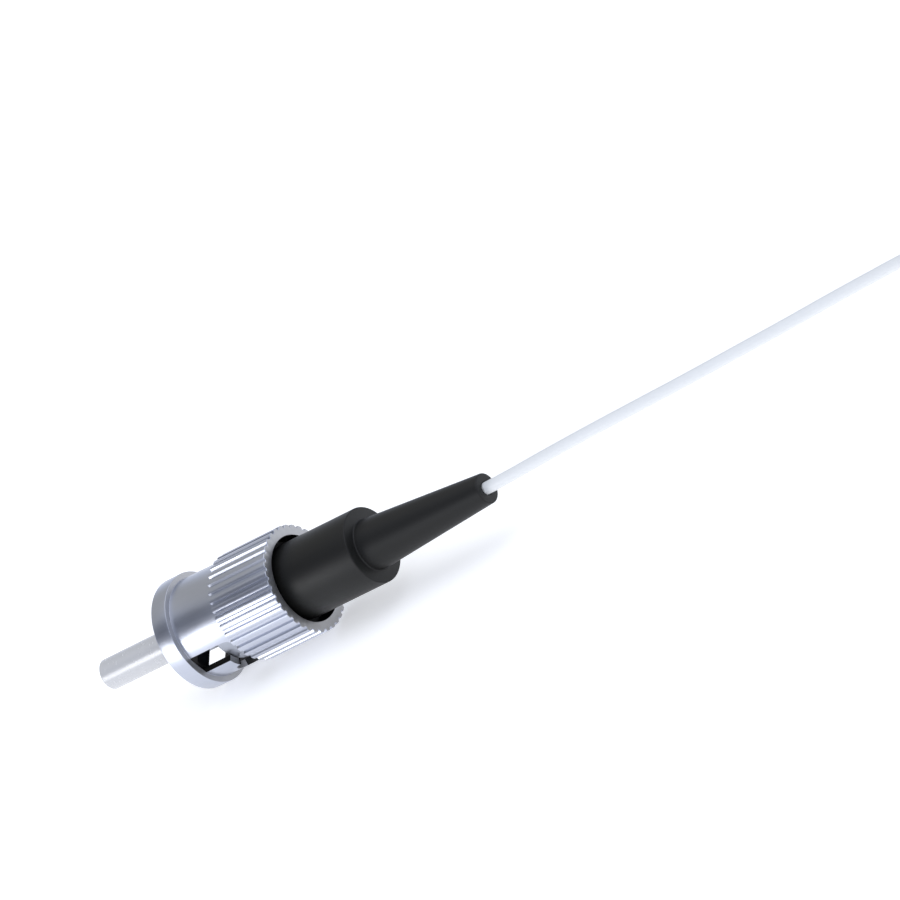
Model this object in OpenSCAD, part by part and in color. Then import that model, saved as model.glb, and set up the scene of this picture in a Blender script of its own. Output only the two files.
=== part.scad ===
// Straight-tip fibre connector on a buffered pigtail.
// The connector lies on its nut, with its axis along X and its cable towards +X.
// Stations along the axis are measured from the nut's front face.

/* [Ferrule] */
// Diameter of the ferrule
ferrule_d = 2.5; // [2.4:0.05:2.6]
// How far the ferrule stands out of the nut
ferrule_reach = 9.25; // [6:0.25:10]
// Chamfer round the ferrule's tip
tip_chamfer = 0.25; // [0.1:0.05:0.4]

/* [Coupling nut] */
// Diameter of the front ring
ring_d = 9.14; // [9:0.02:9.6]
// Width of the front ring
ring_w = 1.56; // [1.2:0.02:2]
// Diameter of the neck that holds the bayonet slots
neck_d = 8.2; // [8.1:0.05:8.4]
// Station where the fluted grip begins
grip_start = 6.04; // [5.8:0.02:6.4]
// Diameter of the fluted grip
grip_d = 8.9; // [8.8:0.05:9]
// Length of the nut
nut_len = 12.2; // [12:0.1:12.6]
// Number of flutes round the grip
flutes = 36; // [24:1:40]
// Depth of a flute
flute_depth = 0.2; // [0.1:0.05:0.25]
// Diameter of the nut's bore
nut_bore_d = 7.14; // [7.1:0.02:7.2]

/* [Bayonet slots] */
// Width of the track that a lug runs in
track_w = 1.9; // [1.7:0.05:2]
// Turn of the nut from the slot's mouth to its locked end, degrees
track_sweep = 43; // [38:1:60]
// How far the locked end lies forward of the track
lock_step = 0.9; // [0.6:0.05:1]
// Direction of the first slot's mouth, degrees from straight up
slot_at = 99; // [0:1:180]

/* [Spring] */
// Wire of the spring
spring_wire = 0.4; // [0.3:0.05:0.45]
// Turns of the spring, with its two closed ends
spring_turns = 5; // [4:1:6]
// How far the nut can be pushed forward
nut_travel = 1.6; // [1:0.1:1.8]

/* [Boot] */
// Diameter of the boot's cylinder
boot_d = 6.25; // [6:0.05:6.4]
// Station of the boot's shoulder
shoulder_at = 19.55; // [18:0.05:21]
// Diameter of the tapered tail at the shoulder
tail_d = 4.22; // [3.8:0.02:4.6]
// Diameter of the tail's end
tail_end_d = 2.48; // [2:0.02:3]
// Station of the tail's end
tail_end_at = 31.85; // [28:0.05:34]

/* [Cable] */
// Diameter of the buffered fibre
cable_d = 1; // [0.9:0.05:1]
// Diameter of the bare glass
glass_d = 0.125; // [0.125:0.005:0.14]
// Middle radius of the coil
coil_r = 7.55; // [7:0.05:8]

/* [Hidden] */
$fn = 96;

axis_z = ring_d / 2;                           // the front ring rests on the surface
middle_x = (tail_end_at - ferrule_reach) / 2;  // station of the connector's middle

ferrule_r = ferrule_d / 2;
seat_r = ferrule_r - 0.2;                      // the ferrule's seat in its holder
seat_end = 4.3;                                // station of the ferrule's rear end
holder_r = 1.8;
holder_tail_r = 1.55;
holder_end = 8;

flange_at = 4;                                 // the barrel's guiding flange
flange_end = 5.6;
flange_r = nut_bore_d / 2 - 0.07;
shank_r = 2.3;                                 // the spring and the nut's web run on it
groove_r = 1.85;                               // floor of the clip's groove
post_r = 1.9;                                  // rear post that the boot is pushed on
barb_r = 2.1;
barbs = [12.3, 13.7, 15.1];                    // stations of the post's barbs
barb_len = 0.9;
post_end = 17;
tube_r = 1;                                    // the guide tube in the post's bore

web_at = 10.13;                                // the nut's inner web
web_end = 10.73;
web_hole_r = shank_r + 0.06;
clip_at = web_end + 0.05;
clip_w = 0.45;
clip_r = 2.85;
washer_at = 9.88;
washer_w = 0.22;
washer_hole_r = shank_r + 0.08;
washer_r = 3.4;

key_w = 1.1;                                   // the alignment key on the holder's nose
key_at = 0.15;
key_end = 1.35;
key_root_r = 1.45;
key_top_r = 3.3;
key_angle = 110;

boot_at = 11.35;                               // the boot's front face
boot_hole_r = cable_d / 2 + 0.05;
buffer_at = 9;                                 // the buffer is stripped back to here
edge = 0.08;                                   // small bevel on turned edges

track_x = grip_start - track_w / 2;            // a lug's centre in the cross track
lock_x = track_x - lock_step;                  // a lug's centre when locked

// The cable leaves the boot, comes down to the surface and runs to the coil.
exit = [tail_end_at - middle_x, 0, axis_z];
route = [
    exit,
    [23, 0.2, 4.55],
    [27, 0.9, 4.4],
    [31, 1.8, 4.1],
    [35, 2.9, 3.65],
    [39, 4.2, 3.1],
    [43, 5.7, 2.5],
    [47, 7.2, 1.9],
    [51, 8.8, 1.3],
    [55, 10, 0.85],
    [59, 10.8, 0.6],
    [63, 11.6, 0.5],
    [67, 12.5, 0.55],
    [71, 13.4, 0.7]];
coil_at = [75.4, 5];                           // middle of the coil
layers = 4;                                    // turns side by side in the coil
levels = 5;                                    // turns on top of each other
lay = cable_d + 0.02;                          // spacing of neighbouring turns
coil_w = (layers - 1) * lay + cable_d;
coil_h = (levels - 1) * lay + cable_d;
tie_w = 1.6;
tie_t = 0.3;
tie_angles = [60, 180, 300];

// Stands a shape, drawn up the Z axis, on the connector's axis.
module on_axis() translate([-middle_x, 0, axis_z]) rotate([0, 90, 0]) children();

// Turns a feature, drawn towards +X, to an angle from straight up.
module turned(angle) rotate([0, 0, 180 + angle]) children();

// A tube between two stations on the axis.
module ring(inner, outer, from, to) {
    rotate_extrude() translate([inner, from]) square([outer - inner, to - from]);
}

module ferrule() {
    color("whitesmoke") on_axis() rotate_extrude() polygon([
        [glass_d / 2, -ferrule_reach],
        [ferrule_r - tip_chamfer, -ferrule_reach],
        [ferrule_r, tip_chamfer - ferrule_reach],
        [ferrule_r, 0],
        [seat_r, 0],
        [seat_r, seat_end],
        [glass_d / 2, seat_end]]);
}

module glass_fibre() {
    color("lightcyan") on_axis() translate([0, 0, -ferrule_reach])
        cylinder(d = glass_d, h = ferrule_reach + buffer_at, $fn = 24);
}

module adhesive() {
    color("goldenrod") on_axis() rotate_extrude($fn = 48) polygon([
        [glass_d / 2, seat_end],
        [seat_r, seat_end],
        [cable_d / 2, seat_end + 0.7],
        [cable_d / 2, buffer_at],
        [glass_d / 2, buffer_at]]);
}

// The key's block, cut out of the holder and filled by the key itself.
module key_block() {
    turned(key_angle) translate([key_root_r, -key_w / 2, key_at])
        cube([key_top_r - key_root_r, key_w, key_end - key_at]);
}

module ferrule_holder() {
    color("silver") on_axis() difference() {
        rotate_extrude() polygon([
            [seat_r, 0],
            [holder_r - edge, 0],
            [holder_r, edge],
            [holder_r, flange_at],
            [holder_tail_r, flange_at],
            [holder_tail_r, holder_end],
            [cable_d / 2, holder_end],
            [cable_d / 2, seat_end + 0.7],
            [seat_r, seat_end]]);
        key_block();
    }
}

module alignment_key() {
    color("dimgray") on_axis() key_block();
}

// Outline of the barbed post, from its root to its end.
function post_outline() = concat(
    [[post_r, boot_at]],
    [for (b = barbs) each [[post_r, b], [barb_r, b + 0.1], [post_r, b + barb_len]]],
    [[post_r, post_end]]);

module barrel() {
    color("silver") on_axis() rotate_extrude() polygon(concat(
        [[holder_tail_r, flange_at],
         [flange_r - edge, flange_at],
         [flange_r, flange_at + edge],
         [flange_r, flange_end - edge],
         [flange_r - edge, flange_end],
         [shank_r, flange_end],
         [shank_r, clip_at],
         [groove_r, clip_at],
         [groove_r, clip_at + clip_w],
         [shank_r, clip_at + clip_w],
         [shank_r, boot_at]],
        post_outline(),
        [[tube_r, post_end],
         [tube_r, holder_end],
         [holder_tail_r, holder_end]]));
}

module guide_tube() {
    color("white") on_axis() ring(cable_d / 2, tube_r, holder_end, post_end);
}

// One flute of the grip, cut along its whole length.
module flute() {
    floor_r = grip_d / 2 - flute_depth;
    translate([0, 0, grip_start - 0.1]) linear_extrude(nut_len - grip_start + 0.2) polygon([
        [floor_r, -0.08],
        [floor_r + 2 * flute_depth, -0.24],
        [floor_r + 2 * flute_depth, 0.24],
        [floor_r, 0.08]]);
}

// A radial hole as wide as a lug.
module lug_hole(station) {
    translate([nut_bore_d / 2 - 0.6, 0, station]) rotate([0, 90, 0])
        cylinder(d = track_w, h = 2, $fn = 48);
}

// A lug's way through the nut: in from the front, round behind the land, forward to lock.
module bayonet_slot() {
    inside = nut_bore_d / 2 - 0.6;
    translate([inside, -track_w / 2, -1]) cube([neck_d / 2 - inside, track_w, ring_w + 1]);
    translate([inside, -track_w / 2, ring_w]) cube([2, track_w, track_x - ring_w]);
    lug_hole(track_x);
    rotate_extrude(angle = track_sweep)
        translate([inside, track_x - track_w / 2]) square([2, track_w]);
    rotate([0, 0, track_sweep]) {
        lug_hole(track_x);
        lug_hole(lock_x);
        translate([inside, -track_w / 2, lock_x]) cube([2, track_w, lock_step]);
    }
}

module coupling_nut() {
    bore_r = nut_bore_d / 2;
    color("lightsteelblue") on_axis() difference() {
        rotate_extrude() polygon([
            [bore_r, 0],
            [ring_d / 2 - edge, 0],
            [ring_d / 2, edge],
            [ring_d / 2, ring_w],
            [neck_d / 2, ring_w],
            [neck_d / 2, grip_start],
            [grip_d / 2 - edge, grip_start],
            [grip_d / 2, grip_start + edge],
            [grip_d / 2, nut_len - edge],
            [grip_d / 2 - edge, nut_len],
            [bore_r, nut_len],
            [bore_r, web_end],
            [web_hole_r, web_end],
            [web_hole_r, web_at],
            [bore_r, web_at]]);
        for (k = [0 : flutes - 1]) rotate([0, 0, (k + 0.5) * 360 / flutes]) flute();
        for (side = [0, 180]) turned(slot_at + side) bayonet_slot();
    }
}

// Height of the spring's wire after a number of turns: closed ends, open in between.
function coil_height(turn, length) =
    let (closed = spring_wire * 1.05, open_turns = spring_turns - 2,
         pitch = (length - spring_wire - 2 * closed) / open_turns)
    spring_wire / 2 + (turn < 1 ? turn * closed
        : turn < spring_turns - 1 ? closed + (turn - 1) * pitch
        : closed + open_turns * pitch + (turn - spring_turns + 1) * closed);

module spring() {
    length = washer_at - flange_end;
    sides = 8;
    steps = 16 * spring_turns;
    middle_r = shank_r + 0.6;
    points = [for (i = [0 : steps], s = [0 : sides - 1])
        let (turn = i * spring_turns / steps, a = s * 360 / sides,
             r = middle_r + spring_wire / 2 * cos(a))
        [r * cos(turn * 360), r * sin(turn * 360),
         coil_height(turn, length) + spring_wire / 2 * sin(a)]];
    color("gray") on_axis() translate([0, 0, flange_end]) polyhedron(points, tube_faces(steps, sides));
}

// Faces of a tube whose rings of points follow each other, closed at both ends.
function tube_faces(steps, sides) = concat(
    [[for (s = [0 : sides - 1]) s]],
    [for (i = [0 : steps - 1], s = [0 : sides - 1]) let (a = i * sides + s,
        b = i * sides + (s + 1) % sides) each [[a, a + sides, b + sides], [a, b + sides, b]]],
    [[for (s = [sides - 1 : -1 : 0]) steps * sides + s]]);

module thrust_washer() {
    color("gray") on_axis() ring(washer_hole_r, washer_r, washer_at, washer_at + washer_w);
}

module retaining_clip() {
    mouth = 70;
    end_r = (clip_r - groove_r) / 2;
    color("darkgray") on_axis() translate([0, 0, clip_at]) turned(0) {
        rotate([0, 0, mouth / 2]) rotate_extrude(angle = 360 - mouth)
            translate([groove_r, 0]) square([clip_r - groove_r, clip_w]);
        for (side = [-1, 1]) rotate([0, 0, side * mouth / 2])
            translate([groove_r + end_r, 0, 0]) cylinder(r = end_r, h = clip_w, $fn = 32);
    }
}

module boot() {
    color("black") on_axis() rotate_extrude() polygon(concat(
        post_outline(),
        [[post_r, post_end + 0.2],
         [boot_hole_r, post_end + 0.2],
         [boot_hole_r, tail_end_at],
         [tail_end_d / 2 - edge, tail_end_at],
         [tail_end_d / 2, tail_end_at - edge],
         [tail_d / 2, shoulder_at],
         [boot_d / 2 - edge, shoulder_at],
         [boot_d / 2, shoulder_at - edge],
         [boot_d / 2, boot_at + edge],
         [boot_d / 2 - edge, boot_at]]));
}

module fibre_buffer() {
    color("white") on_axis() translate([0, 0, buffer_at])
        cylinder(d = cable_d, h = tail_end_at - buffer_at, $fn = 32);
}

// Point of a smooth curve through the route, at t along the stretch from i to i + 1.
function smooth(i, t) =
    let (last = len(route) - 1, a = route[max(i - 1, 0)], b = route[i],
         c = route[min(i + 1, last)], d = route[min(i + 2, last)])
    b + 0.5 * t * ((c - a) + t * ((2 * a - 5 * b + 4 * c - d) + t * (3 * b - a - 3 * c + d)));

module fibre_cable() {
    sides = 8;
    per_stretch = 2;
    steps = (len(route) - 1) * per_stretch;
    line = [for (k = [0 : steps]) k < steps
        ? smooth(floor(k / per_stretch), (k % per_stretch) / per_stretch) : route[len(route) - 1]];
    points = [for (k = [0 : steps])
        let (way = k == 0 ? [1, 0, 0] : line[min(k + 1, steps)] - line[k - 1],
             ahead = way / norm(way),
             across = cross([0, 0, 1], ahead) / norm(cross([0, 0, 1], ahead)),
             up = cross(ahead, across))
        for (s = [0 : sides - 1]) line[k] + cable_d / 2
            * (cos((s + 0.5) * 360 / sides) * across + sin((s + 0.5) * 360 / sides) * up)];
    color("white") polyhedron(points, tube_faces(steps, sides));
}

module cable_coil() {
    color("white") translate([coil_at[0], coil_at[1], tie_t]) rotate_extrude()
        translate([coil_r - coil_w / 2, 0]) square([coil_w, coil_h]);
}

module coil_ties() {
    color("dimgray") translate([coil_at[0], coil_at[1], 0])
        for (a = tie_angles) rotate([0, 0, a]) translate([coil_r, tie_w / 2, 0]) rotate([90, 0, 0])
            linear_extrude(tie_w) difference() {
                translate([-coil_w / 2 - tie_t, 0]) square([coil_w + 2 * tie_t, coil_h + 2 * tie_t]);
                translate([-coil_w / 2, tie_t]) square([coil_w, coil_h]);
            }
}

ferrule();
glass_fibre();
adhesive();
ferrule_holder();
alignment_key();
barrel();
guide_tube();
coupling_nut();
spring();
thrust_washer();
retaining_clip();
boot();
fibre_buffer();
fibre_cable();
cable_coil();
coil_ties();
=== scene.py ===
# %% [markdown]
# # A straight-tip fibre connector on its pigtail
#
# The connector is 41 mm long: a white ceramic ferrule, a nickel-plated bayonet nut, a black
# rubber boot, and a white buffered fibre that runs out of the boot and down to the surface.
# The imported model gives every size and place. This lesson dresses it: each piece is turned,
# cut or bent from a few values, and each finish is a small network of shader nodes.

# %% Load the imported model
import math

import bmesh
import bpy
from mathutils import Matrix, Vector


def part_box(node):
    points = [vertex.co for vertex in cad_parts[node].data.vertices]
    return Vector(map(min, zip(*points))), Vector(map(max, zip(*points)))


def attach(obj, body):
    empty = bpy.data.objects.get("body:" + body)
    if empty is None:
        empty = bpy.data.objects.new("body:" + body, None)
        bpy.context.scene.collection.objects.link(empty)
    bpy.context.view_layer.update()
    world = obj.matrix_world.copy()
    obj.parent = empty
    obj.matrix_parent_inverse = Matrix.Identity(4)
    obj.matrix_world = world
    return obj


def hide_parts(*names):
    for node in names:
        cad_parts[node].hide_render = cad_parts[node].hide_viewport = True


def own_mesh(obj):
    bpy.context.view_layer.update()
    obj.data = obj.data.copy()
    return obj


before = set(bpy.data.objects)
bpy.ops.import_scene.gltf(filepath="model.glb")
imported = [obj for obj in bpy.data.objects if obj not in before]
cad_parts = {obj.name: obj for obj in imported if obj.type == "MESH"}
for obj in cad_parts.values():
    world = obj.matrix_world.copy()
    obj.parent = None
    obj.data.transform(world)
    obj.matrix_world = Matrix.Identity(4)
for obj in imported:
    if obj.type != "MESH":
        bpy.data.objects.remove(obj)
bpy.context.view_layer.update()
MM = 0.001

# %% [markdown]
# ## Stations
#
# Almost everything on the connector is turned on a lathe, and all of it shares one axis. A
# turner measures along that axis from one face. So places are given here as stations, in
# millimetres behind the front face of the nut. The frame says where that face is, so no
# place has to be fitted by eye.

# %% Stations along the axis
nut_low, nut_high = (Vector(corner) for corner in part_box("coupling_nut"))
tip_low, _ = (Vector(corner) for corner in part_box("ferrule"))
boot_low, boot_high = (Vector(corner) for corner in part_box("boot"))
AXIS_Z = (nut_low.z + nut_high.z) / 2
RING_R = (nut_high.z - nut_low.z) / 2 / MM
BODY, NUT, WASHER = "connector_body", "nut", "washer"


def station(x_m):
    """Millimetres behind the nut's front face, from a place in metres."""
    return (x_m - nut_low.x) / MM


def on_axis(x_mm, r_mm=0.0, angle=0.0):
    """The point at a station and a radius, at an angle in degrees from straight up."""
    turn = math.radians(angle)
    return Vector((
        nut_low.x + x_mm * MM,
        -r_mm * MM * math.sin(turn),
        AXIS_Z + r_mm * MM * math.cos(turn),
    ))


NUT_END, BOOT_START, BOOT_END = station(nut_high.x), station(boot_low.x), station(boot_high.x)
print(f"nut {NUT_END:.2f} mm long, boot from {BOOT_START:.2f} to {BOOT_END:.2f} mm")

# %% [markdown]
# ## The camera
#
# The connector is seen from behind its boot, from far away, so that near and far pieces keep
# almost the same scale. A long lens does that. The view is then rolled about its own line of
# sight, until the connector points down to the left.

# %% Place the camera
LENS_MM = 850
VIEW_WIDTH = 68.8 * MM
AZIMUTH, ELEVATION = 40.7, 22.0
SLOPE = 26.4  # how far the axis climbs across the view, in degrees
AIM_STATION, AIM_ABOVE = 30.3, 3.86
NEAREST, FARTHEST = 0.1, 20.0


def view_axes(azimuth, elevation):
    """Unit vectors towards the camera, along the connector as seen, and across it."""
    a, e = math.radians(azimuth), math.radians(elevation)
    toward = Vector((math.sin(a) * math.cos(e), -math.cos(a) * math.cos(e), math.sin(e)))
    along = (Vector((1, 0, 0)) - toward * toward.x).normalized()
    return toward, along, toward.cross(along)


def place_camera():
    """Makes the scene's camera and gives its distance from what it aims at."""
    toward, along, across = view_axes(AZIMUTH, ELEVATION)
    slope = math.radians(SLOPE)
    right = along * math.cos(slope) - across * math.sin(slope)
    up = along * math.sin(slope) + across * math.cos(slope)
    target = on_axis(AIM_STATION) + across * AIM_ABOVE * MM
    data = bpy.data.cameras.new("camera")
    data.lens = LENS_MM
    data.clip_start, data.clip_end = NEAREST, FARTHEST
    camera = bpy.data.objects.new("camera", data)
    bpy.context.scene.collection.objects.link(camera)
    distance = VIEW_WIDTH / (data.sensor_width / data.lens)
    facing = Matrix((right, up, toward)).transposed().to_4x4()
    camera.matrix_world = Matrix.Translation(target + toward * distance) @ facing
    bpy.context.scene.camera = camera
    return distance


print(f"camera {place_camera():.2f} m away")

# %% [markdown]
# ## The fibre
#
# A pigtail is one metre of buffered fibre. It leaves the boot straight, sinks to the surface
# under its own weight and runs on. What the view doesn't take in is wound into a coil, as for
# storage. A spiral would be the shortest formula for it, but a real coil is laid in levels:
# each level of turns goes from one side of the ring to the other, and the next goes back on
# top of it. So the turns are worked out one by one, each a circle that shifts to the next
# one's place in its last stretch. The free stretch stays a given list of points.

# %% The fibre's route
CABLE_D = 1.0
ROUTE = [  # millimetres, in the model's own frame
    (20.55, 0, 4.57), (23, 0.2, 4.55), (27, 0.9, 4.4), (31, 1.8, 4.1), (35, 2.9, 3.65),
    (39, 4.2, 3.1), (43, 5.7, 2.5), (47, 7.2, 1.9), (51, 8.8, 1.3), (55, 10, 0.85),
    (59, 10.8, 0.6), (63, 11.6, 0.5), (67, 12.5, 0.55), (71, 13.4, 0.7),
]
LAY = CABLE_D + 0.02  # from one turn to the next
LAYERS, LEVELS = 4, 5
coil_low, coil_high = (Vector(corner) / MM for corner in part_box("cable_coil"))
COIL_MIDDLE = (coil_low + coil_high) / 2
COIL_R = (coil_high.x - coil_low.x) / 2 - ((LAYERS - 1) * LAY + CABLE_D) / 2
JOIN_ANGLE = 102.0  # where the free stretch meets the coil
SHIFT_ANGLE = 50.0  # the last stretch of a turn, which leads to the next one
STEPS_A_TURN = 48


def smooth_route(points, steps=8):
    """Points of a smooth curve through the route."""
    line = []
    for i in range(len(points) - 1):
        a, b, c, d = (Vector(points[min(max(k, 0), len(points) - 1)]) for k in range(i - 1, i + 3))
        for step in range(steps):
            t = step / steps
            line.append(b + 0.5 * t * (
                (c - a) + t * ((2 * a - 5 * b + 4 * c - d) + t * (3 * b - a - 3 * c + d))))
    return line


def ease(t):
    """A soft start and a soft end between 0 and 1."""
    return t * t * (3 - 2 * t)


def coil_turns():
    """Points of the coil, wound clockwise: even levels go inwards, odd ones back outwards."""
    places = []
    for level in range(LEVELS):
        order = range(LAYERS) if level % 2 == 0 else reversed(range(LAYERS))
        places += [(COIL_R + ((LAYERS - 1) / 2 - layer) * LAY, level * LAY) for layer in order]
    line = []
    for turn, (radius, rise) in enumerate(places):
        next_radius, next_rise = places[min(turn + 1, len(places) - 1)]
        for step in range(STEPS_A_TURN):
            swept = 360 * step / STEPS_A_TURN
            share = ease(max(0, swept - 360 + SHIFT_ANGLE) / SHIFT_ANGLE)
            r = radius + (next_radius - radius) * share
            a = math.radians(JOIN_ANGLE - swept)
            line.append(Vector((
                COIL_MIDDLE.x + r * math.cos(a),
                COIL_MIDDLE.y + r * math.sin(a),
                coil_low.z + CABLE_D / 2 + rise + (next_rise - rise) * share)))
    return line


# %% [markdown]
# A thin round thing of constant width is a curve with a bevel: Blender keeps its centre line,
# and the bevel gives it its thickness. That is lighter than a hand-made tube. The bevel is
# one metre deep and each point's radius scales it down to the fibre's own radius, so that
# the curve's bounding box is as small as the fibre is.

# %% Draw the fibre
def tube_curve(name, points_mm, diameter_mm, resolution=6):
    """A round curve object through points in millimetres."""
    curve = bpy.data.curves.new(name, "CURVE")
    curve.dimensions = "3D"
    curve.bevel_depth = 1.0
    curve.bevel_resolution = resolution
    curve.use_fill_caps = True
    spline = curve.splines.new("POLY")
    spline.points.add(len(points_mm) - 1)
    for point, place in zip(spline.points, points_mm):
        point.co = (*(Vector(place) * MM), 1)
        point.radius = diameter_mm / 2 * MM
    spline.use_smooth = True
    made = bpy.data.objects.new(name, curve)
    bpy.context.scene.collection.objects.link(made)
    return made


coil_line = coil_turns()
fibre_line = smooth_route(ROUTE + [tuple(coil_line[0])]) + coil_line
fibre_length = sum((b - a).length for a, b in zip(fibre_line, fibre_line[1:])) * MM
fibre = tube_curve("fibre", fibre_line, CABLE_D)
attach(fibre, BODY)
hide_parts("fibre_cable", "cable_coil")
print(f"fibre {fibre_length:.3f} m long, in {LAYERS * LEVELS} turns")

# %% [markdown]
# ## Helpers for turned pieces
#
# Most pieces come off a lathe. Each is a closed outline of radius and station, spun round the
# axis. Blender's Screw modifier could spin it too, but a plain loop lets a piece change its
# radius on the way round, which the nut's flutes need. Real turned edges are never quite
# sharp, so every corner of the outline is first rounded with a small arc: that is what
# catches the light.

# %% Lathe helpers
ALMOST_STRAIGHT = math.radians(178)
LONGEST_REACH = 0.49  # an arc takes less than half of the side that it stands on


def rounded(outline, radius, steps=3):
    """The closed outline with each corner replaced by an arc; a corner may give its own radius."""
    made = []
    count = len(outline)
    for i, corner in enumerate(outline):
        here = Vector(corner[:2])
        before = Vector(outline[i - 1][:2]) - here
        after = Vector(outline[(i + 1) % count][:2]) - here
        r = corner[2] if len(corner) > 2 else radius
        bend = before.angle(after)
        if r <= 0 or bend > ALMOST_STRAIGHT:
            made.append(here)
            continue
        longest = min(before.length, after.length) * LONGEST_REACH
        reach = min(r / math.tan(bend / 2), longest)
        start = here + before.normalized() * reach
        end = here + after.normalized() * reach
        for step in range(steps + 1):
            t = step / steps
            made.append(start.lerp(here, t).lerp(here.lerp(end, t), t))
    return made


def bridge(work, rings, closed):
    """Joins each ring of points to the next with faces, and caps the ends if left open."""
    pairs = list(zip(rings, rings[1:]))
    if closed:
        pairs.append((rings[-1], rings[0]))
    for ring, following in pairs:
        for i, vert in enumerate(ring):
            j = (i + 1) % len(ring)
            work.faces.new((vert, following[i], following[j], ring[j]))
    if not closed:
        work.faces.new(rings[0])
        work.faces.new(rings[-1])


def mesh_from(name, work):
    """Turns finished work into a mesh whose faces all look outwards."""
    bmesh.ops.recalc_face_normals(work, faces=work.faces)
    mesh = bpy.data.meshes.new(name)
    work.to_mesh(mesh)
    work.free()
    return mesh


def finished(name, mesh, body, sharp=35):
    """Links a mesh as a piece that rides on a body, smooth but for its sharp edges."""
    for face in mesh.polygons:
        face.use_smooth = True
    mesh.set_sharp_from_angle(angle=math.radians(sharp))
    piece = bpy.data.objects.new(name, mesh)
    bpy.context.scene.collection.objects.link(piece)
    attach(piece, body)
    return piece


def lathe_mesh(name, outline, segments=128, shape=None):
    """Spins a closed outline of (radius, station); shape may change a radius by angle."""
    work = bmesh.new()
    rings = []
    for step in range(segments):
        angle = 360 * step / segments
        rings.append([
            work.verts.new(on_axis(x, shape(r, x, angle) if shape else r, angle))
            for r, x in outline])
    bridge(work, rings, closed=True)
    return mesh_from(name, work)


def turned(name, outline, body, edge=0.04, segments=128):
    """A piece spun from an outline, with its corners eased by the edge's radius."""
    piece = finished(name, lathe_mesh(name, rounded(outline, edge), segments), body)
    print(f"{name}: {len(piece.data.polygons)} faces")
    return piece


# %% [markdown]
# ## The ferrule
#
# The ferrule is a ground ceramic cylinder that lines two fibres up in a sleeve. It holds the
# bare glass in a hole of a hair's width. Its tip is chamfered, so that it finds the sleeve,
# and its end is polished to a very flat dome, so that the two glasses touch. A plain cylinder
# would miss both, and they are what shows at its end.

# %% Turn the ferrule
FERRULE_R = 1.25
GLASS_R = 0.0625
SEAT_R, SEAT_END = FERRULE_R - 0.2, 4.3
DOME_R, DOME_STEPS = 20.0, 6
TIP_CHAMFER = 0.25
TIP = station(tip_low.x)


def ferrule_piece():
    radii = [(FERRULE_R - TIP_CHAMFER) * k / DOME_STEPS for k in range(1, DOME_STEPS + 1)]
    dome = [(r, TIP + DOME_R - math.sqrt(DOME_R**2 - r**2), 0) for r in radii]
    outline = [(GLASS_R, TIP, 0)] + dome + [
        (FERRULE_R, TIP + TIP_CHAMFER, 0.12), (FERRULE_R, 0, 0), (SEAT_R, 0, 0),
        (SEAT_R, SEAT_END), (GLASS_R, SEAT_END)]
    return turned("ferrule_ceramic", outline, BODY)


ferrule = ferrule_piece()
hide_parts("ferrule")

# %% [markdown]
# ## The coupling nut
#
# The nut shows most of the metal: a ring at the front, a thin neck with two bayonet slots, and
# a grip with straight flutes for the fingers. It is spun as one outline, so that its bore, its
# inner web and its outside belong to one wall. The flutes could be cut with 36 cutters, but
# that makes a heavy mesh with ragged corners. Instead the outer points of the grip move
# inwards as the angle goes round, which gives crowned ridges and clean ends.

# %% Spin the nut and press its flutes
RING_W, NECK_R, GRIP_R, GRIP_START = 1.56, 4.1, 4.45, 6.04
BORE_R, WEB_R, WEB_AT, WEB_END = 3.57, 2.36, 10.13, 10.73
FLUTES, FLUTE_DEPTH, FLUTE_AT = 36, 0.2, 5.0
RIDGE, FLANK, CROWN = 0.5, 0.22, 0.02  # shares of a flute's half width, and a height
STEPS_A_FLUTE = 16


def flute_depth(angle):
    """How deep the grip is pressed at an angle: broad crowned ridges, narrow grooves."""
    across = abs(((angle - FLUTE_AT) * FLUTES / 360) % 1 - 0.5) * 2
    if across < RIDGE:
        return CROWN * (across / RIDGE) ** 2
    return CROWN + (FLUTE_DEPTH - CROWN) * ease(min(1, (across - RIDGE) / FLANK))


def fluted(radius, x, angle):
    """The radius after pressing: only the grip's outer skin moves."""
    on_grip = x > GRIP_START - 0.01 and radius > GRIP_R - 0.15
    return radius - flute_depth(angle) if on_grip else radius


def nut_mesh():
    outline = [
        (BORE_R, 0, 0.06), (RING_R, 0, 0.12), (RING_R, RING_W, 0.05), (NECK_R, RING_W, 0.03),
        (NECK_R, GRIP_START, 0.03), (GRIP_R, GRIP_START, 0.06), (GRIP_R, NUT_END, 0.08),
        (BORE_R, NUT_END, 0.06), (BORE_R, WEB_END, 0.1), (WEB_R, WEB_END, 0.05),
        (WEB_R, WEB_AT, 0.05), (BORE_R, WEB_AT, 0.1)]
    return lathe_mesh("nut", rounded(outline, 0.05), FLUTES * STEPS_A_FLUTE, fluted)


# %% [markdown]
# ## The bayonet slots
#
# A lug of the mating part enters a slot at the front, runs back, round behind the land and
# forward into its locked end. On the real nut a round cutter mills that track, so the cutter
# here is the same track with round ends, drawn flat, wrapped round the neck and pushed through
# the wall. Under the ring the track is only a groove inside, so the ring stays whole.

# %% Draw the track that a lug follows
TRACK_W, TRACK_SWEEP, LOCK_STEP, SLOT_AT = 1.9, 43.0, 0.9, 99.0
TRACK_X = GRIP_START - TRACK_W / 2
LOCK_X = TRACK_X - LOCK_STEP


def arc(middle, start, end, steps=8):
    """Points of a quarter or half circle as wide as the track, angles in degrees."""
    angles = [math.radians(start + (end - start) * k / steps) for k in range(steps + 1)]
    return [(middle[0] + TRACK_W / 2 * math.cos(a), middle[1] + TRACK_W / 2 * math.sin(a))
            for a in angles]


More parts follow.
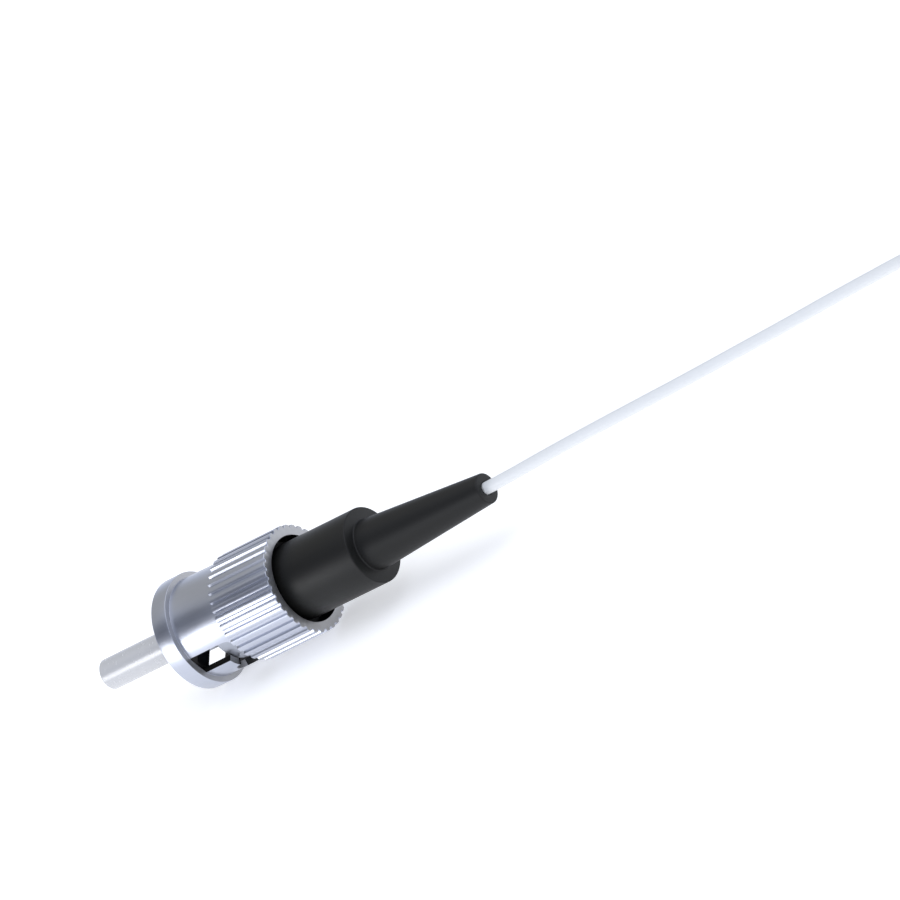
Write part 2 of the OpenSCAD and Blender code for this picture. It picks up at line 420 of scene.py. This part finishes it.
def track_outline():
    """The slot laid flat: millimetres round the neck and stations along it."""
    half = TRACK_W / 2
    far = math.radians(TRACK_SWEEP) * NECK_R
    return (
        [(-half, RING_W + 0.01)]
        + arc((0, TRACK_X), 180, 90)
        + arc((far, TRACK_X), 90, 0)
        + arc((far, LOCK_X), 0, -180)
        + [(far - half, TRACK_X - half - 0.05), (half, TRACK_X - half + 0.05),
           (half, RING_W + 0.01)])


def cutter(name, flat_outline, inner, outer, angle_at):
    """A flat outline wrapped round the axis and pushed from one radius to another."""
    work = bmesh.new()
    walls = [[
        work.verts.new(on_axis(x, r, angle_at + math.degrees(along / NECK_R)))
        for along, x in flat_outline] for r in (inner, outer)]
    bridge(work, walls, closed=False)
    bmesh.ops.triangulate(work, faces=[f for f in work.faces if len(f.verts) > 4])
    return mesh_from(name, work)


def apply_modifiers(piece):
    """Turns what the modifiers show into the piece's own mesh."""
    shown = piece.evaluated_get(bpy.context.evaluated_depsgraph_get())
    mesh = bpy.data.meshes.new_from_object(shown)
    piece.modifiers.clear()
    piece.data = mesh
    return mesh


# %% [markdown]
# A boolean cut leaves the cutter's own material on the walls that it makes. So the nut's
# finishes get their names here: bright plating outside, a dull machined finish in the slots and
# the bore whose near-black colour is painted shade, and a turned finish on the faces that look
# back whose darker grey is painted shade. Their nodes come later.

# %% Cut the slots and sort the nut's faces by finish
# Faces that look back more than this take the end finish, whose darker grey is painted shade.
END_SHADE_LIMIT = 0.8  # a face that looks back more than this is an end


def new_material(name):
    made = bpy.data.materials.new(name)
    made.use_nodes = True
    return made


plated = new_material("plated_nickel")
# The slot and bore walls are machined, and their near-black colour is painted shade.
painted_shade_wall = new_material("milled_wall_painted_shade")
# Faces that look back: a real turned finish, darkened with painted shade.
end_turned_and_shade = new_material("turned_end_and_painted_shade")


def cut_slots(piece):
    """Cuts two opposite slots and their grooves, and gives the mesh that is left."""
    groove = [(-TRACK_W / 2, -0.5), (TRACK_W / 2, -0.5),
              (TRACK_W / 2, RING_W + 0.06), (-TRACK_W / 2, RING_W + 0.06)]
    tools = []
    for side in (0, 180):
        for name, outline, outer in (
            ("track", track_outline(), RING_R + 0.5), ("groove", groove, NECK_R - 0.02)):
            mesh = cutter(name, outline, BORE_R - 0.5, outer, SLOT_AT + side)
            mesh.materials.append(painted_shade_wall)
            tool = bpy.data.objects.new(name, mesh)
            bpy.context.scene.collection.objects.link(tool)
            tools.append(tool)
    for tool in tools:
        cut = piece.modifiers.new("cut", "BOOLEAN")
        cut.object = tool
        cut.operation = "DIFFERENCE"
        cut.solver = "EXACT"
        cut.material_mode = "TRANSFER"
    mesh = apply_modifiers(piece)
    for tool in tools:
        bpy.data.objects.remove(tool)
    return mesh


def nut_piece():
    blank = nut_mesh()
    blank.materials.append(plated)
    piece = bpy.data.objects.new("nut_blank", blank)
    bpy.context.scene.collection.objects.link(piece)
    mesh = cut_slots(piece)
    bpy.data.objects.remove(piece)
    mesh.materials.append(end_turned_and_shade)
    slots = {material: index for index, material in enumerate(mesh.materials)}
    for face in mesh.polygons:
        radius = math.hypot(face.center.y, face.center.z - AXIS_Z) / MM
        # Bore faces take the near-black colour, which is painted shade.
        if radius < BORE_R + 0.03:
            face.material_index = slots[painted_shade_wall]
        # Faces that look back take the darker end grey, which is painted shade.
        elif face.normal.x > END_SHADE_LIMIT:
            face.material_index = slots[end_turned_and_shade]
    return finished("nut_shell", mesh, NUT, sharp=30)


nut = nut_piece()
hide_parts("coupling_nut")
print(f"nut_shell: {len(nut.data.polygons)} faces, {[m.name for m in nut.data.materials]}")

# %% [markdown]
# ## The boot
#
# The boot is one moulding of black rubber that keeps the fibre from kinking: a plain cylinder
# that slips over the barrel's post, a flat shoulder, and a tail that narrows to a hole that
# just fits the fibre. It is turned like the metal, but with rounder corners, as a mould has.

# %% Turn the boot
BOOT_R, SHOULDER, TAIL_R, TAIL_END_R = 3.125, 19.55, 2.11, 1.24
HOLE_R, POST_R, POST_END = 0.55, 1.9, 17.0
POST_ROOM = 0.2  # behind the end of the post


def boot_piece():
    outline = [
        (POST_R, BOOT_START), (BOOT_R, BOOT_START, 0.1), (BOOT_R, SHOULDER, 0.1),
        (TAIL_R, SHOULDER, 0.12), (TAIL_END_R, BOOT_END, 0.1), (HOLE_R, BOOT_END, 0.06),
        (HOLE_R, POST_END + POST_ROOM), (POST_R, POST_END + POST_ROOM)]
    return turned("boot_rubber", outline, BODY, edge=0.03, segments=160)


boot = boot_piece()
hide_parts("boot")

# %% [markdown]
# ## Inside the nut
#
# Through the slots one sees the barrel's flange, the holder's nose with its key, and the
# spring. They are turned in the same way, from the outlines that their work needs: the
# flange guides the nut, the shank carries the spring, the barbed post grips the boot, and a
# clip in the shank's groove keeps the nut on. They could be left out where no light falls,
# but then the slots would show an empty shell.

# %% Turn the barrel, the holder, the washer and the clip
HOLDER_R, HOLDER_TAIL_R, HOLDER_END = 1.8, 1.55, 8.0
FLANGE_AT, FLANGE_END, FLANGE_R = 4.0, 5.6, 3.5
SHANK_R, GROOVE_R, THROUGH_R = 2.3, 1.85, 1.0
BARBS, BARB_R, BARB_RAMP, BARB_LENGTH = (12.3, 13.7, 15.1), 2.1, 0.1, 0.9
FUNNEL = 0.7  # leads the bare glass into the ferrule
WASHER_HOLE_R, WASHER_R = 2.38, 3.4
CLIP_AT, CLIP_W, CLIP_R, CLIP_MOUTH = 10.78, 0.45, 2.85, 70
CLIP_STEPS = 72


def barrel_piece():
    barbs = []
    for at in BARBS:
        barbs += [(POST_R, at), (BARB_R, at + BARB_RAMP), (POST_R, at + BARB_LENGTH)]
    outline = [
        (HOLDER_TAIL_R, FLANGE_AT), (FLANGE_R, FLANGE_AT, 0.1), (FLANGE_R, FLANGE_END, 0.1),
        (SHANK_R, FLANGE_END, 0.1), (SHANK_R, CLIP_AT), (GROOVE_R, CLIP_AT),
        (GROOVE_R, CLIP_AT + CLIP_W), (SHANK_R, CLIP_AT + CLIP_W), (SHANK_R, BOOT_START),
        (POST_R, BOOT_START), *barbs, (POST_R, POST_END), (THROUGH_R, POST_END),
        (THROUGH_R, HOLDER_END), (HOLDER_TAIL_R, HOLDER_END)]
    return turned("barrel_body", outline, BODY)


def holder_piece():
    outline = [
        (SEAT_R, 0), (HOLDER_R, 0, 0.1), (HOLDER_R, FLANGE_AT), (HOLDER_TAIL_R, FLANGE_AT),
        (HOLDER_TAIL_R, HOLDER_END), (CABLE_D / 2, HOLDER_END),
        (CABLE_D / 2, SEAT_END + FUNNEL), (SEAT_R, SEAT_END)]
    return turned("holder_sleeve", outline, BODY)


def washer_piece():
    low, high = (station(corner[0]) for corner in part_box("thrust_washer"))
    outline = [(WASHER_HOLE_R, low), (WASHER_R, low), (WASHER_R, high), (WASHER_HOLE_R, high)]
    return turned("washer_ring", outline, WASHER, edge=0.05)


def clip_piece():
    """A flat ring with a mouth at the top."""
    middle, half = (GROOVE_R + CLIP_R) / 2, (CLIP_R - GROOVE_R) / 2
    section = rounded([(-half, 0), (half, 0), (half, CLIP_W), (-half, CLIP_W)], 0.06)
    work = bmesh.new()
    rings = []
    for step in range(CLIP_STEPS + 1):
        angle = CLIP_MOUTH / 2 + (360 - CLIP_MOUTH) * step / CLIP_STEPS
        rings.append([
            work.verts.new(on_axis(CLIP_AT + x, middle + r, angle)) for r, x in section])
    bridge(work, rings, closed=False)
    return finished("clip_ring", mesh_from("clip_ring", work), BODY)


barrel = barrel_piece()
holder = holder_piece()
washer = washer_piece()
clip = clip_piece()
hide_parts("barrel")
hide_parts("ferrule_holder")
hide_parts("thrust_washer")
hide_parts("retaining_clip")

# %% [markdown]
# ## The key
#
# The key stands up from the holder's nose and drops into a notch of the adapter, so that the
# connector always goes in the same way round. It is a small block with eased edges: a box
# that is pulled to its place by its corners, and then bevelled.

# %% Shape the key
KEY_AT, KEY_END = 0.15, 1.35
KEY_ROOT, KEY_TOP = 1.45, 3.3
KEY_W, KEY_ANGLE, KEY_EDGE = 1.1, 110, 0.08


def key_piece():
    side = math.radians(KEY_ANGLE)
    half = Vector((0, -math.cos(side), -math.sin(side))) * KEY_W / 2 * MM
    work = bmesh.new()
    bmesh.ops.create_cube(work, size=1)
    for vert in work.verts:
        r = KEY_ROOT if vert.co.z < 0 else KEY_TOP
        x = KEY_AT if vert.co.x < 0 else KEY_END
        vert.co = on_axis(x, r, KEY_ANGLE) + (half if vert.co.y > 0 else -half)
    bmesh.ops.bevel(
        work, geom=list(work.edges), offset=KEY_EDGE * MM, segments=3, profile=0.5,
        affect="EDGES")
    return finished("key_block", mesh_from("key_block", work), BODY)


key = key_piece()
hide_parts("alignment_key")

# %% [markdown]
# ## The spring
#
# The spring pushes the nut back, so that a locked connector is held tight. It is a helix with
# a closed turn at each end, where it bears on the flange and the washer. A curve would be
# lighter, but a mesh can be squashed along the axis when the nut is pushed forward.

# %% Wind the spring
WIRE, TURNS = 0.4, 5
CLOSED_PITCH = WIRE * 1.05
spring_low, spring_high = (station(corner[0]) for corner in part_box("spring"))
SPRING_R = SHANK_R + 0.6


def wire_height(turn):
    """How far along the spring the wire is after a number of turns."""
    open_turns = TURNS - 2
    open_pitch = (spring_high - spring_low - WIRE - 2 * CLOSED_PITCH) / open_turns
    in_closed = min(turn, 1) + max(turn - TURNS + 1, 0)
    in_open = min(max(turn - 1, 0), open_turns)
    return WIRE / 2 + CLOSED_PITCH * in_closed + open_pitch * in_open


def spring_piece(sides=12, steps=40):
    round_wire = [
        (WIRE / 2 * math.cos(2 * math.pi * k / sides), WIRE / 2 * math.sin(2 * math.pi * k / sides))
        for k in range(sides)]
    work = bmesh.new()
    rings = []
    for step in range(TURNS * steps + 1):
        turn = step / steps
        at = spring_low + wire_height(turn)
        rings.append([
            work.verts.new(on_axis(at + x, SPRING_R + r, -90 - 360 * turn))
            for r, x in round_wire])
    bridge(work, rings, closed=False)
    return finished("spring_wire", mesh_from("spring_wire", work), BODY, sharp=60)


spring = spring_piece()
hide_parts("spring")
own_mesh(spring)

# %% [markdown]
# ## The coil's ties
#
# Three soft straps keep the coil together. A strap goes round the whole bundle and pulls
# square with soft corners, so each is drawn as two rounded rectangles, one inside the other,
# and given its width across them.

# %% Strap the coil
TIE_T, TIE_W, TIE_EDGE = 0.3, 1.6, 0.06
TIE_INNER_CORNER, TIE_OUTER_CORNER = 0.45, 0.75
TIE_ANGLES = (60, 180, 300)


def rectangle(half, low, high, corner):
    """A rounded rectangle, as distances from the middle of the bundle and heights."""
    return rounded([(-half, low), (half, low), (half, high), (-half, high)], corner, steps=5)


def tie_piece(name, angle):
    half, top = coil_high.x - COIL_MIDDLE.x - COIL_R, coil_high.z
    inner = rectangle(half, TIE_T, top, TIE_INNER_CORNER)
    outer = rectangle(half + TIE_T, 0, top + TIE_T, TIE_OUTER_CORNER)
    outward = Vector((math.cos(math.radians(angle)), math.sin(math.radians(angle)), 0))
    aside = Vector((-outward.y, outward.x, 0))
    work = bmesh.new()

    def place(point, side):
        flat = outward * (COIL_R + point[0]) + aside * side * TIE_W / 2
        return Vector((COIL_MIDDLE.x + flat.x, COIL_MIDDLE.y + flat.y, point[1])) * MM

    loops = [[work.verts.new(place(p, side)) for p in line]
             for line, side in ((inner, -1), (outer, -1), (outer, 1), (inner, 1))]
    bridge(work, loops, closed=True)
    edges = [e for e in work.edges if e.calc_face_angle(0) > math.radians(60)]
    bmesh.ops.bevel(
        work, geom=edges, offset=TIE_EDGE * MM, segments=2, profile=0.5, affect="EDGES")
    return finished(name, mesh_from(name, work), BODY)


ties = [tie_piece(f"tie_{k + 1}", angle) for k, angle in enumerate(TIE_ANGLES)]
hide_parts("coil_ties")
print(f"{len(ties)} ties round {LAYERS * LEVELS} turns")

# %% [markdown]
# ## Finishes
#
# No real surface is one flat colour. Plating has a faint haze, rubber a fine grain, plastic a
# slight cloudiness. All of these are one effect at different scales, so it is made once, as a
# group with named sockets: a cloudy noise that shifts the colour and the roughness a little
# and gives a height for the bump. A stretch above one draws the noise out round the part, as
# turning does, and one below draws it out along the axis. The shader stays in each material.

# %% Make the shared grain
GRAIN_INPUTS = (  # name, least, most, default
    ("Scale", 0, 1e5, 3000), ("Stretch", 0, 1000, 1), ("Amount", 0, 1, 0.1),
    ("Roughness", 0, 1, 0.4))


def calculation(tree, operation, first, second, kind="ShaderNodeMath"):
    """Adds a node that works out one value from two, each a number or another node's output."""
    node = tree.nodes.new(kind)
    node.operation = operation
    for socket, given in zip((node.inputs[0], node.inputs[1]), (first, second)):
        if isinstance(given, bpy.types.NodeSocket):
            tree.links.new(given, socket)
        else:
            socket.default_value = given
    return node


def make_sockets(group):
    for name, least, most, default in GRAIN_INPUTS:
        socket = group.interface.new_socket(name, in_out="INPUT", socket_type="NodeSocketFloat")
        socket.min_value, socket.max_value = least, most
        socket.default_value = default
    group.interface.new_socket("Color", in_out="INPUT", socket_type="NodeSocketColor")
    group.interface.new_socket("Color", in_out="OUTPUT", socket_type="NodeSocketColor")
    group.interface.new_socket("Roughness", in_out="OUTPUT", socket_type="NodeSocketFloat")
    group.interface.new_socket("Height", in_out="OUTPUT", socket_type="NodeSocketFloat")


def grain_group(name):
    """The shared effect: fine cloudy variation of a colour and a roughness, and a height."""
    group = bpy.data.node_groups.new(name, "ShaderNodeTree")
    make_sockets(group)
    given = group.nodes.new("NodeGroupInput").outputs
    out = group.nodes.new("NodeGroupOutput").inputs
    place = group.nodes.new("ShaderNodeTexCoord").outputs["Object"]
    stretch = group.nodes.new("ShaderNodeCombineXYZ")
    stretch.inputs["Y"].default_value = 1
    stretch.inputs["Z"].default_value = 1
    noise = group.nodes.new("ShaderNodeTexNoise")
    noise.inputs["Detail"].default_value = 3
    group.links.new(given["Stretch"], stretch.inputs["X"])
    scaled = calculation(group, "MULTIPLY", place, stretch.outputs[0], "ShaderNodeVectorMath")
    group.links.new(scaled.outputs[0], noise.inputs["Vector"])
    group.links.new(given["Scale"], noise.inputs["Scale"])
    centred = calculation(group, "SUBTRACT", noise.outputs["Fac"], 0.5)
    shift = calculation(group, "MULTIPLY", centred.outputs[0], given["Amount"])
    rough = calculation(group, "ADD", shift.outputs[0], given["Roughness"])
    rough.use_clamp = True
    brightness = calculation(group, "ADD", shift.outputs[0], 1)
    tint = group.nodes.new("ShaderNodeVectorMath")
    tint.operation = "SCALE"
    group.links.new(given["Color"], tint.inputs[0])
    group.links.new(brightness.outputs[0], tint.inputs["Scale"])
    group.links.new(tint.outputs[0], out["Color"])
    group.links.new(rough.outputs[0], out["Roughness"])
    group.links.new(noise.outputs["Fac"], out["Height"])
    return group


surface_grain = grain_group("surface_grain")
print(f"{surface_grain.name}: {len(surface_grain.nodes)} nodes")

# %% [markdown]
# ## The materials
#
# Each finish is a colour, a gloss and its own grain. The metals are fully metallic, so the
# colour is what they reflect. The ceramic is dense and bends light strongly, which is why a
# white ferrule still shines like enamel. The boot's rubber is nearly black and has a weak,
# wide sheen. The key is steel, coloured near-black as painted shade.

# %% Mix the materials
BUMP_STRENGTH = 0.5
CERAMIC_IOR, RUBBER_SHEEN = 2.15, 0.3


def shader_of(material):
    return material.node_tree.nodes["Principled BSDF"]


def dress(material, color, roughness, metallic=0, scale=3000, stretch=1, amount=0.1, bump=0):
    """Gives a material its colour and gloss through the shared grain; bump in millimetres."""
    nodes, links = material.node_tree.nodes, material.node_tree.links
    shader = shader_of(material)
    grain = nodes.new("ShaderNodeGroup")
    grain.node_tree = surface_grain
    grain.inputs["Scale"].default_value = scale
    grain.inputs["Stretch"].default_value = stretch
    grain.inputs["Amount"].default_value = amount
    grain.inputs["Roughness"].default_value = roughness
    grain.inputs["Color"].default_value = (*color, 1)
    links.new(grain.outputs["Color"], shader.inputs["Base Color"])
    links.new(grain.outputs["Roughness"], shader.inputs["Roughness"])
    shader.inputs["Metallic"].default_value = metallic
    if bump:
        relief = nodes.new("ShaderNodeBump")
        relief.inputs["Strength"].default_value = BUMP_STRENGTH
        relief.inputs["Distance"].default_value = bump * MM
        links.new(grain.outputs["Height"], relief.inputs["Height"])
        links.new(relief.outputs["Normal"], shader.inputs["Normal"])
    return material


def finish_named(name, color, roughness, **grain):
    return dress(new_material(name), color, roughness, **grain)


dress(plated, (0.53, 0.555, 0.63), 0.31, 1, scale=4000, stretch=0.15, amount=0.05, bump=0.001)
# Slot and bore walls: the rough machined finish is real, the near-black colour is painted shade.
dress(painted_shade_wall, (0.03, 0.03, 0.03), 0.5, 1, bump=0.004)
# End faces: the rougher turned finish is real, the darker grey is painted shade.
dress(end_turned_and_shade, (0.45, 0.45, 0.46), 0.45, 1, bump=0.004)
body_metal = finish_named(
    "plated_body", (0.4, 0.42, 0.47), 0.35, metallic=1, scale=1500, stretch=4, amount=0.08,
    bump=0.003)
steel = finish_named("spring_steel", (0.35, 0.35, 0.37), 0.3, metallic=1, bump=0.003)
# The key is steel; its near-black colour is painted shade.
key_dark_shade = finish_named("key_steel", (0.04, 0.04, 0.045), 0.45, metallic=1, bump=0.003)
ceramic = finish_named("ceramic", (0.55, 0.55, 0.56), 0.27, amount=0.03)
rubber = finish_named(
    "boot_rubber", (0.007, 0.007, 0.0065), 0.45, scale=5000, amount=0.12, bump=0.004)
jacket = finish_named(
    "fibre_jacket", (0.80, 0.81, 0.81), 0.4, scale=2500, amount=0.03, bump=0.002)
strap = finish_named(
    "tie_strap", (0.6, 0.62, 0.65), 0.6, scale=6000, amount=0.15, bump=0.01)
plastic = finish_named("guide_plastic", (0.75, 0.75, 0.72), 0.5, amount=0.05)
glass = finish_named("fibre_glass", (0.8, 0.9, 0.95), 0.05, amount=0.02)
resin = finish_named("cured_adhesive", (0.45, 0.22, 0.05), 0.3)
shader_of(ceramic).inputs["IOR"].default_value = CERAMIC_IOR
shader_of(rubber).inputs["Specular IOR Level"].default_value = RUBBER_SHEEN
print(f"{len(bpy.data.materials)} materials")

# %% [markdown]
# Each new piece gets its material; the table lists beside it the finish of the record that it
# stands for. The nodes that are kept from the imported model only get a better material:
# their shape is right as it is.

# %% Give every piece its finish
for piece, material, slot in (
    (ferrule, ceramic, "ceramic"),
    (barrel, body_metal, "plated_body"),
    (holder, body_metal, "plated_body"),
    (boot, rubber, "boot_rubber"),
    (spring, steel, "spring_steel"),
    (washer, steel, "spring_steel"),
    (clip, steel, "spring_steel"),
    (key, key_dark_shade, "key_steel"),
    (fibre, jacket, "buffer_plastic"),
    *((tie, strap, "tie_plastic") for tie in ties),
):
    piece.data.materials.clear()
    piece.data.materials.append(material)

for node, material in (
    ("fibre_buffer", jacket), ("guide_tube", plastic), ("glass_fibre", glass),
    ("adhesive", resin),
):
    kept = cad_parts[node]
    kept.data.materials.clear()
    kept.data.materials.append(material)

# %% [markdown]
# ## Floor and light
#
# The connector lies on a pale surface that glows a little, like a light table, so that its
# shadow stays faint. A wide soft light hangs above, and a small one stands low in front for
# the highlights.

# %% Build the studio
FLOOR_SIZE, FLOOR_GLOW = 1.5, 0.4


def studio():
    work = bmesh.new()
    bmesh.ops.create_grid(work, x_segments=1, y_segments=1, size=FLOOR_SIZE)
    mesh = bpy.data.meshes.new("floor")
    work.to_mesh(mesh)
    work.free()
    floor = bpy.data.objects.new("floor", mesh)
    bpy.context.scene.collection.objects.link(floor)
    pale = finish_named("pale_floor", (0.9, 0.9, 0.9), 0.9, scale=30, amount=0.01)
    shader_of(pale).inputs["Emission Color"].default_value = (1, 1, 1, 1)
    shader_of(pale).inputs["Emission Strength"].default_value = FLOOR_GLOW
    floor.data.materials.append(pale)


studio()
bpy.context.scene.view_settings.view_transform = "Standard"


def soft_light(name, place, target, size, power):
    data = bpy.data.lights.new(name, "AREA")
    data.size = size
    data.energy = power
    light = bpy.data.objects.new(name, data)
    light.location = place
    light.rotation_euler = (Vector(target) - Vector(place)).to_track_quat("-Z", "Y").to_euler()
    bpy.context.scene.collection.objects.link(light)


soft_light("overhead", (0.25, 0.1, 0.9), (0.02, 0, 0), size=1.0, power=2.5)
soft_light("front", (-0.42, -0.53, 0.12), (0, 0, 0.004), size=0.3, power=1.2)

# %% [markdown]
# Polished metal shows what is around it, so the studio itself has tones: cool white walls, a
# dark card to the front left and above, and a dimmer one behind. Real cards could be modelled
# as planes, but they would also shade the part. The sky of the scene is these tones blended
# by direction.

# %% Paint the studio's walls
WALL, WALL_STRENGTH = (0.80, 0.86, 1.0), 0.9
CARDS = (  # direction, colour, cosine where it fades out, cosine where it is full
    ((-0.605, -0.489, 0.628), (0.13, 0.14, 0.17), 0.84, 0.98),
    ((-0.605, 0.374, 0.703), (0.55, 0.55, 0.54), 0.75, 0.96),
)


def studio_walls():
    world = bpy.data.worlds.new("studio_world")
    bpy.context.scene.world = world
    world.use_nodes = True
    nodes, links = world.node_tree.nodes, world.node_tree.links
    background = nodes["Background"]
    background.inputs["Strength"].default_value = WALL_STRENGTH
    place = nodes.new("ShaderNodeTexCoord")
    color = None
    for direction, tone, fade, full in CARDS:
        facing = nodes.new("ShaderNodeVectorMath")
        facing.operation = "DOT_PRODUCT"
        facing.inputs[1].default_value = Vector(direction).normalized()
        share = nodes.new("ShaderNodeMapRange")
        share.interpolation_type = "SMOOTHSTEP"
        share.inputs["From Min"].default_value = fade
        share.inputs["From Max"].default_value = full
        mix = nodes.new("ShaderNodeMix")
        mix.data_type = "RGBA"
        links.new(place.outputs["Generated"], facing.inputs[0])
        links.new(facing.outputs["Value"], share.inputs["Value"])
        links.new(share.outputs["Result"], mix.inputs["Factor"])
        mix.inputs["A"].default_value = (*WALL, 1)
        if color:
            links.new(color, mix.inputs["A"])
        mix.inputs["B"].default_value = (*tone, 1)
        color = mix.outputs["Result"]
    links.new(color, background.inputs["Color"])


studio_walls()
